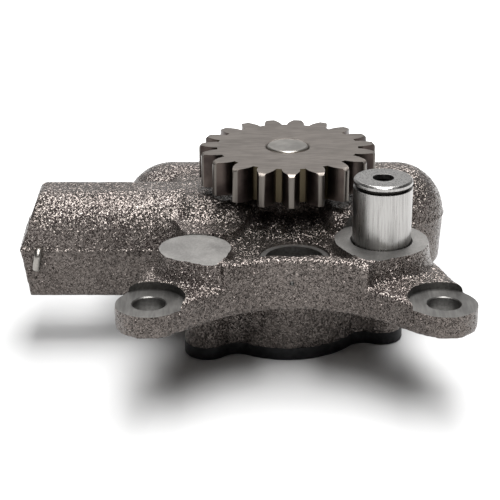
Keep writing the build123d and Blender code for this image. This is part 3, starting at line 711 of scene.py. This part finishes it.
# %% [markdown]
# Sand grains shift and lumps stick, so no cast wall is truly flat. A lattice
# of random numbers, blended smoothly between its points, moves each point of
# the skin in or out by about a tenth of a millimetre. Where the two halves of
# the mould met, iron crept between them and left a low ridge of flash.

# %% Lumps and flash
def lattice_noise(points, size, seed):
    """Random values from -1 to 1 on a cubic lattice of the given size, blended between its
    corners by the S curve 3t^2 - 2t^3."""
    values = np.random.default_rng(seed).uniform(-1, 1, (32, 32, 32))
    cell = np.floor(points / size).astype(int)
    part = points / size - cell
    part = part * part * (3 - 2 * part)
    total = np.zeros(len(points))
    for corner in np.ndindex(2, 2, 2):
        weight = np.prod(np.where(corner, part, 1 - part), axis=1)
        total += weight * values[tuple(((cell + corner) % 32).T)]
    return total


points = rows_of(casting.data.vertices)
outwards = rows_of(casting.data.vertices, "normal")
coarse = 0.10 * mm * lattice_noise(points, 3.4 * mm, 1)
fine = 0.06 * mm * lattice_noise(points, 1.9 * mm, 2)
lumps = coarse + fine
on_parting = np.exp(-(((points[:, 2] - parting_z * mm) / (0.8 * mm)) ** 2))
on_ends = (points[:, 0] < -48 * mm) | (points[:, 0] > 44 * mm)
outer_wall = (abs(outwards[:, 2]) < 0.6) & on_ends & (points[:, 1] > -24 * mm)
flash = 0.5 * mm * on_parting * outer_wall
points = points + (lumps + flash)[:, None] * outwards

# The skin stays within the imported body, but for the stock that the cutters take off
low, high = (np.array(corner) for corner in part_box("pump_body"))
low[2] -= 2 * stock
high += (0, 2 * stock, 2 * stock)
casting.data.vertices.foreach_set("co", np.clip(points, low, high).ravel())
dress(casting, iron_skin)
print("lumps up to", round(abs(lumps).max() / mm, 2), "mm")

# %% [markdown]
# Now the machining. Each cutter is a turned or egg-shaped solid that carries
# a finish, so what it leaves behind gets that finish too: fine lines in the
# bores and bolt seats, a matt bright face on the pads and the cup's floor,
# and raw iron on the cup's wall, which is cast and not cut.

# %% Cutters
cup_radius, cup_top_z = 13.1, 54.0
cup_wall_z = (cup_floor_z + cup_top_z) / 2
rim_back = 54.9 * mm


def off_rim(points):
    """Pushes the points that would cut the rim out to its back, away from the crank's axis."""
    from_axis = points[:, :2] - crank_axis
    reach = np.linalg.norm(from_axis, axis=1)
    points[:, :2] = crank_axis + from_axis * (np.maximum(reach, rim_back) / reach)[:, None]
    return points


bolt_bore = [(6, 20), (6, 42.2), (6.4, bolt_seat_z)]
ear_seat = [(13.3, bolt_seat_z), (13.3, 60)]
cup = [(11, bolt_seat_z), (11, cup_floor_z), (cup_radius, cup_floor_z), (cup_radius, cup_top_z)]
cup_points, cup_faces = turned(bolt_bore + cup, at(centre_bolt))
cutters = [turned(bolt_bore + ear_seat, at(ear)) for ear in ears]
cutters += [
    (off_rim(cup_points), cup_faces),
    # A small dimple in the front wall
    turned([(0.9, -62), (0.9, -57.6), (0.5, -57.1)], point(0.7, 0, 44.6), "Y", 24),
    # The two pads, the stub's bore and the hub's top
    egg_prism(blank_pad, pad_z, pad_z + 1.3, 0.05 * mm),
    egg_prism(stub_pad, pad_z, pad_z + 7, 0.1 * mm),
    turned([(11, 36.3), (11, 53.5), (11.8, pad_z), (11.8, 57)], at(stub)),
    turned([(18, hub_top_z), (18, 69)]),
    # The shaft's bore, the joint face and the rotor chamber
    turned([(9.63, 20), (9.63, 69)]),
    turned([(60, 1), (60, joint_z)]),
    turned([(23.3, 3), (23.3, 33.37)], point(0, chamber_y, 0)),
    # The port face, the relief bore, its feed and its cross pin
    turned([(80, port_face_y), (80, 53)], point(0, 0, parting_z), "Y"),
    turned([(9.125, -112), (9.125, -28.15)], relief_axis, "X"),
    turned([(7.5, -30), (7.5, -12)], relief_axis, "X"),
    turned([(1.55, -30), (1.55, 20)], relief_pin, "Y"),
    # The two ports
    turned([(11, 13.5), (11, 52)], suction_axis, "Y"),
    turned([(8, 15.5), (8, 52)], delivery_axis, "Y"),
]
cutters += [turned([(3.4, 34), (3.4, 52)], thread, "Y", 48) for thread in port_threads]

cutter = placed("cutters", solids_mesh("cutters", cutters))
dress(cutter, milled_iron, faced_iron, iron_skin)
heights = rows_of(cutter.data.polygons, "center")[:, 2]
finish_number = np.zeros(len(heights), int)
for level, number in ((pad_z, 1), (cup_floor_z, 1), (cup_wall_z, 2)):
    finish_number[abs(heights - level * mm) < 0.05 * mm] = number
cutter.data.polygons.foreach_set("material_index", finish_number)
print(len(cutters), "cutters")

# %% [markdown]
# One boolean takes every cutter off the casting. The exact solver is slow,
# but it keeps the thin walls between neighbouring bores whole, and a crisp
# edge is left where each cut meets the soft skin.

# %% Machine the casting
machining = {
    "operation": "DIFFERENCE", "solver": "EXACT", "use_self": True,
    "material_mode": "TRANSFER", "object": cutter,
}
machined = finished_mesh(casting, BOOLEAN=machining)
bpy.data.objects.remove(cutter)
bpy.data.objects.remove(casting)
machined.shade_smooth()
machined.set_sharp_from_angle(angle=radians(38))
housing = placed("housing_casting", machined)
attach(housing, "housing")
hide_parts("pump_body")
print("machined casting:", len(machined.polygons), "faces")

# %% [markdown]
# A workshop takes the sharp corner off every machined piece with a file or a
# tumbling drum, and the narrow bevels catch the thin lines of light that draw
# its outline. Each piece that shows gets a copy with bevelled edges, 0.15 to
# 0.4 mm wide. The gear's teeth are chamfered already, so it is only shaded.

# %% Broken edges
def break_edges(name, width, body):
    """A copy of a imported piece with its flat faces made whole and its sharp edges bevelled;
    with no width it is only shaded smoothly."""
    part = placed(name + "_finished", merged_copy(name))
    if width:
        work = bmesh.new()
        work.from_mesh(part.data)
        everything = {"verts": work.verts[:], "edges": work.edges[:]}
        bmesh.ops.dissolve_limit(work, angle_limit=radians(0.5), **everything)
        part.data = mesh_from(name + "_whole", work)
        sharp_edges = {"limit_method": "ANGLE", "angle_limit": radians(32)}
        part.data = finished_mesh(part, BEVEL={"width": width, "segments": 2, **sharp_edges})
    smoothed(part, 28)
    dress(part, nodes[name].data.materials[0])
    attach(part, body)
    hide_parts(name)
    print(name, "now has", len(part.data.polygons), "faces")


break_edges("drive_gear", 0, "drive")
break_edges("drive_shaft", 0.2 * mm, "drive")
break_edges("idler_stub_shaft", 0.15 * mm, "housing")
break_edges("end_cover", 0.4 * mm, "housing")
break_edges("relief_cap_pin", 0.35 * mm, "housing")

# %% [markdown]
# The relief spring is squeezed between its cap and the plunger. When the
# plunger opens, the coil gets shorter by just the plunger's travel, and its
# end at the cap stays where it is. Here the coil is a smoothly shaded copy
# that rides with the housing at one length.

# %% The spring's shaded copy
coil = placed("relief_spring_coil", merged_copy("relief_spring"))
smoothed(coil, 70)
dress(coil, spring_steel)
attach(coil, "housing")
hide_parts("relief_spring")
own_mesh(coil)

# %% [markdown]
# The studio is a pale floor that runs out of the view. A studio lights the
# far floor by itself, so that it goes white while the shadow under the pump
# stays. Here the paper glows more the further it is from the pump.

# %% Floor
floor_half_width = 3.0
glow_start, glow_end = 0.1, 0.28


def pale_floor():
    """A square of paper whose glow rises with the distance from the pump."""
    corners = floor_half_width * np.array([(-1, -1, 0), (1, -1, 0), (1, 1, 0), (-1, 1, 0)])
    mesh = bpy.data.meshes.new("floor")
    mesh.from_pydata(corners.tolist(), [], [(0, 1, 2, 3)])
    paper = Finish("floor_paper", Base_Color=rgb(0.56, 0.56, 0.56), Roughness=0.8)
    distance = paper.vectors("LENGTH", paper.place, output=1)
    glow = paper.ramp(distance, glow_start, glow_end)
    paper.set(Emission_Color=paper.mix(glow, rgb(0, 0, 0), rgb(1, 1, 1)), Emission_Strength=0.9)
    mesh.materials.append(paper.material)
    return placed("floor", mesh)


floor = pale_floor()
print("floor:", 2 * floor_half_width, "m wide")

# %% [markdown]
# A dark casting shows its shape by what it mirrors. One long soft light hangs
# overhead and lights the rounded tops, and a small one in front fills the
# hollows. The room is dim in front and brighter behind, which gives the level
# faces their pale grey.

# %% Lights
def softbox(name, place, aim, size, power):
    """A rectangular light of the given size in metres, turned to face a point."""
    light = bpy.data.lights.new(name, "AREA")
    light.shape = "RECTANGLE"
    light.size, light.size_y = size
    light.energy = power
    lamp = placed(name, light)
    lamp.location = place
    direction = np.array(aim) - np.array(place)
    lamp.rotation_euler = Vector(direction.tolist()).to_track_quat("-Z", "Y").to_euler()


def graded_room(front, back):
    """A world whose strength rises from the front value to the back one with direction Y."""
    world = bpy.data.worlds.new("room")
    world.use_nodes = True
    room = Graph(world.node_tree)
    direction = room.node("ShaderNodeTexCoord", {}, {}, "Generated")
    strength = room.ramp(room.along("Y", direction), 0.2, 1.0, front, back)
    backdrop = world.node_tree.nodes["Background"]
    room.feed(backdrop.inputs["Color"], rgb(1, 1, 1))
    room.feed(backdrop.inputs["Strength"], strength)
    bpy.context.scene.world = world


softbox("overhead_softbox", (0.05, -0.05, 0.8), (0.05, -0.05, 0), (0.42, 1.2), 19)
softbox("front_softbox", (0, -0.62, 0.7), (0, 0, 0.05), (0.3, 0.3), 1.2)
graded_room(front=0.07, back=0.65)
print("lights:", len(bpy.data.lights))

# %% [markdown]
# The camera stands in front of the rim and looks down on the pump, well back
# and with a long lens, so that the gear's circle is a calm ellipse and
# nothing looms.

# %% Camera
camera_data = bpy.data.cameras.new("camera")
camera_data.sensor_width = 36
camera_data.lens = 115.2
camera_data.clip_start = 0.01
camera = placed("camera", camera_data)
camera.location = (-0.0148, -0.5997, 0.279)
camera.rotation_euler = (radians(67.8), 0, 0)
bpy.context.scene.camera = camera
bpy.context.scene.view_settings.view_transform = "Standard"
print("camera", round(camera.location.length, 2), "m from the pump's origin")
